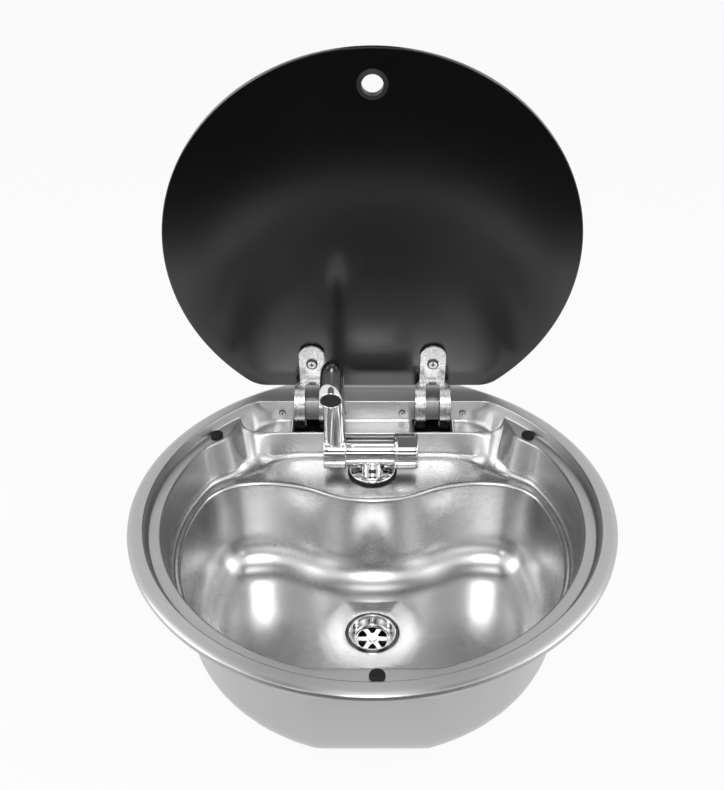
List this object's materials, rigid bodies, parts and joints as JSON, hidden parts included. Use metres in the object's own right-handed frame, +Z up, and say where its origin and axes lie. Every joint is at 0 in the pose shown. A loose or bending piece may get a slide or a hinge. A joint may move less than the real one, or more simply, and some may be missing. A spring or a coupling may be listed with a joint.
{
  "type": "inset sink",
  "caption": "Round inset sink of pressed steel with a hinged dark glass lid, a folding tap on the shelf behind its bowl and a strainer waste with a hose spigot.",
  "frame": {"origin": "centre of the round rim on the worktop's top face, where the rim seal lies", "axes": "+Z up, out of the worktop; +Y towards the lid's hinges at the rear; +X to the right as seen from the front"},
  "size_m": [0.4199, 0.42, 0.56],
  "materials": {
    "pressed_steel": "satin pressing with a finely brushed rim",
    "polished_steel": "polished",
    "chrome": "bright chrome plate",
    "black_rubber": "matt moulded rubber",
    "dark_glass": "dark tempered glass with ground edges",
    "dark_plastic": "moulded plastic",
    "pin_steel": "drawn steel",
    "brass": "machined"
  },
  "bodies": {
    "sink": {"sink_basin": "pressed_steel", "rim_seal": "black_rubber", "bumper_front": "black_rubber", "bumper_rear_left": "black_rubber", "bumper_rear_right": "black_rubber", "strainer": "polished_steel", "waste_screw": "polished_steel", "waste_seal": "black_rubber", "waste_body": "dark_plastic", "hinge_housing_left": "dark_plastic", "hinge_housing_right": "dark_plastic", "hinge_pin_left": "pin_steel", "hinge_pin_right": "pin_steel", "hinge_screws": "polished_steel", "tap_gasket": "black_rubber", "tap_rose": "chrome", "tap_body": "chrome", "tap_shank": "brass", "tap_washer": "black_rubber", "tap_nut": "brass", "spout_rings": "black_rubber", "hub_screw": "pin_steel", "valve_cartridge": "brass"},
    "lid": {"lid_glass": "dark_glass", "lid_grommet": "dark_plastic", "lid_screws": "chrome", "lid_sleeves": "dark_plastic", "lid_caps": "chrome", "hinge_arm_left": "chrome", "hinge_arm_right": "chrome", "hinge_pad_left": "black_rubber", "hinge_pad_right": "black_rubber"},
    "spout": {"spout_hub": "chrome", "hub_cap": "chrome", "spout_tube": "chrome", "spout_outlet": "dark_plastic"},
    "knob": {"valve_spindle": "brass", "tap_knob": "chrome", "knob_screw": "polished_steel"}
  },
  "joints": [
    {"name": "lid_hinge", "type": "hinge", "parent": "sink", "child": "lid", "pos_m": [0, 0.1721, -0.0113], "axis": [1, 0, 0], "range_deg": [0, 84.5]},
    {"name": "spout_fold", "type": "hinge", "parent": "sink", "child": "spout", "pos_m": [-0.0365, 0.1075, -0.0195], "axis": [1, 0, 0], "range_deg": [0, 90]},
    {"name": "knob_turn", "type": "hinge", "parent": "sink", "child": "knob", "pos_m": [0.03, 0.1075, -0.0195], "axis": [1, 0, 0], "range_deg": [0, 90]}
  ],
  "couplings": [
    {"joint": "spout_fold", "follows": "lid_hinge", "ratio": 1.065}
  ]
}
